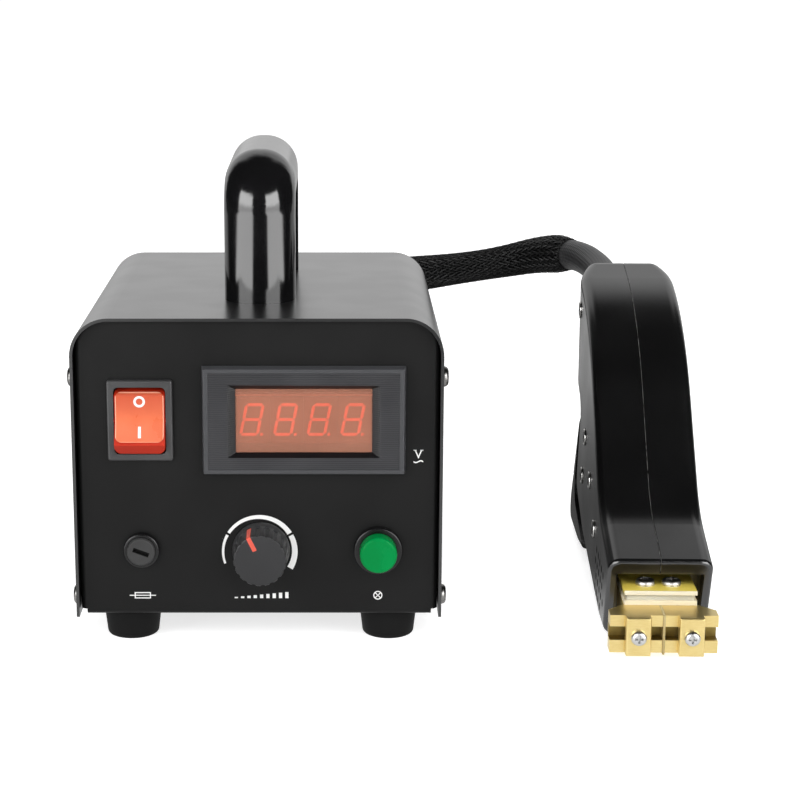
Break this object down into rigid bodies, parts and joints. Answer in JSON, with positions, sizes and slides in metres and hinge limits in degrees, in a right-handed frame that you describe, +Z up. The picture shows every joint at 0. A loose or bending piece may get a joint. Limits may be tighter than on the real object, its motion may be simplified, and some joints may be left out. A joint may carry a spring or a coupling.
{
  "type": "electric hot-blade groover",
  "caption": "Mains power box with voltmeter, rocker, knob and lamp under a carrying handle, and a lead to a pistol-like handset whose brass nose clamps and heats a bent blade.",
  "frame": {"origin": "on the floor, at the middle of the footprint of the box and the handset, the lead left out", "axes": "+X from the box towards the handset, +Y from the front panel to the rear, +Z up"},
  "size_m": [0.2718, 0.3593, 0.1915],
  "materials": {
    "cover_paint": "satin black powder paint",
    "panel_paint": "fine matt black powder paint",
    "zinc_screw": "bright zinc plate",
    "dark_screw": "blackened steel",
    "black_moulding": "moulded, satin",
    "meter_moulding": "moulded, fine grain",
    "knob_moulding": "moulded, satin",
    "shell_moulding": "moulded, fine grain",
    "foot_rubber": "matt",
    "sleeve_rubber": "smooth",
    "rocker_red": "translucent red, unlit",
    "pointer_red": "moulded red",
    "window_tint": "smoked red-brown window",
    "display_block": "unlit digit faces",
    "circuit_board": "solder mask",
    "fuse_glass": "clear",
    "lens_green": "green lens",
    "lamp_glass": "clear",
    "core_steel": "varnished laminations",
    "winding_copper": "enamelled wire, taped",
    "sink_aluminium": "extruded",
    "tinned_brass": "tinned",
    "head_brass": "milled",
    "fibre_sheet": "glass-fibre laminate",
    "cream_sheet": "mica laminate",
    "clear_sheet": "clear laminate",
    "lead_braid": "woven braid over flexible cable"
  },
  "bodies": {
    "base": {"top_cover": "cover_paint", "chassis": "panel_paint", "cover_screws": "zinc_screw", "carry_handle": "black_moulding", "handle_screws": "zinc_screw", "rubber_feet": "foot_rubber", "foot_screws": "zinc_screw", "switch_body": "black_moulding", "switch_terminals": "tinned_brass", "meter_case": "meter_moulding", "meter_window": "window_tint", "meter_display": "display_block", "meter_board": "circuit_board", "fuse_holder": "black_moulding", "fuse_nut": "black_moulding", "potentiometer": "zinc_screw", "pot_nut": "zinc_screw", "lamp_bezel": "black_moulding", "lamp_lens": "lens_green", "lamp_led": "lamp_glass", "lamp_nut": "black_moulding", "transformer_core": "core_steel", "transformer_coil": "winding_copper", "transformer_strap": "zinc_screw", "strap_screws": "zinc_screw", "control_board": "circuit_board", "board_standoffs": "tinned_brass", "heat_sink": "sink_aluminium", "lead_gland": "black_moulding", "lead_gland_nut": "black_moulding", "mains_gland": "black_moulding", "mains_gland_nut": "black_moulding", "handset_lead": "lead_braid", "lead_sleeve": "sleeve_rubber", "shell_left": "shell_moulding", "shell_right": "shell_moulding", "shell_screws": "dark_screw", "trigger_pin": "zinc_screw", "trigger_spring": "zinc_screw", "microswitch": "black_moulding", "electrode_left": "head_brass", "electrode_right": "head_brass", "insulator_sheet": "fibre_sheet", "base_layer": "cream_sheet", "middle_layer": "clear_sheet", "top_layer": "fibre_sheet", "stack_screws": "dark_screw", "cable_lugs": "tinned_brass"},
    "rocker": {"switch_rocker": "rocker_red"},
    "knob": {"control_knob": "knob_moulding", "knob_pointer": "pointer_red", "pot_shaft": "zinc_screw"},
    "fuse_cap": {"fuse_cap": "black_moulding", "fuse_cartridge": "fuse_glass"},
    "trigger": {"trigger": "shell_moulding"},
    "plunger": {"switch_plunger": "pointer_red"},
    "clamp_left": {"clamp_plate_left": "head_brass", "clamp_screw_left": "zinc_screw"},
    "clamp_right": {"clamp_plate_right": "head_brass", "clamp_screw_right": "zinc_screw"}
  },
  "joints": [
    {"name": "rocker_tilt", "type": "hinge", "parent": "base", "child": "rocker", "pos_m": [-0.09986, -0.07805, 0.092], "axis": [1, 0, 0], "range_deg": [0, 22]},
    {"name": "knob_turn", "type": "hinge", "parent": "base", "child": "knob", "pos_m": [-0.05336, -0.07725, 0.0395], "axis": [0, 1, 0], "range_deg": [-109, 161]},
    {"name": "fuse_cap_turn", "type": "hinge", "parent": "base", "child": "fuse_cap", "pos_m": [-0.10036, -0.07725, 0.0395], "axis": [0, -1, 0], "range_deg": [0, 60]},
    {"name": "trigger_press", "type": "hinge", "parent": "base", "child": "trigger", "pos_m": [0.10716, 0.0443, 0.057], "axis": [-0.9997, 0.0262, 0], "range_deg": [0, 3], "stiffness_Nm_per_rad": 1.5, "springref_deg": -14.32},
    {"name": "plunger_press", "type": "slide", "parent": "base", "child": "plunger", "axis": [-0.0248, -0.9484, -0.3162], "range_m": [0, 0.00149]},
    {"name": "clamp_left_open", "type": "slide", "parent": "base", "child": "clamp_left", "axis": [-0.0262, -0.9997, 0], "range_m": [0, 0.003]},
    {"name": "clamp_right_open", "type": "slide", "parent": "base", "child": "clamp_right", "axis": [-0.0262, -0.9997, 0], "range_m": [0, 0.003]}
  ],
  "couplings": [
    {"joint": "plunger_press", "follows": "trigger_press", "m_per_rad": 0.026498}
  ]
}
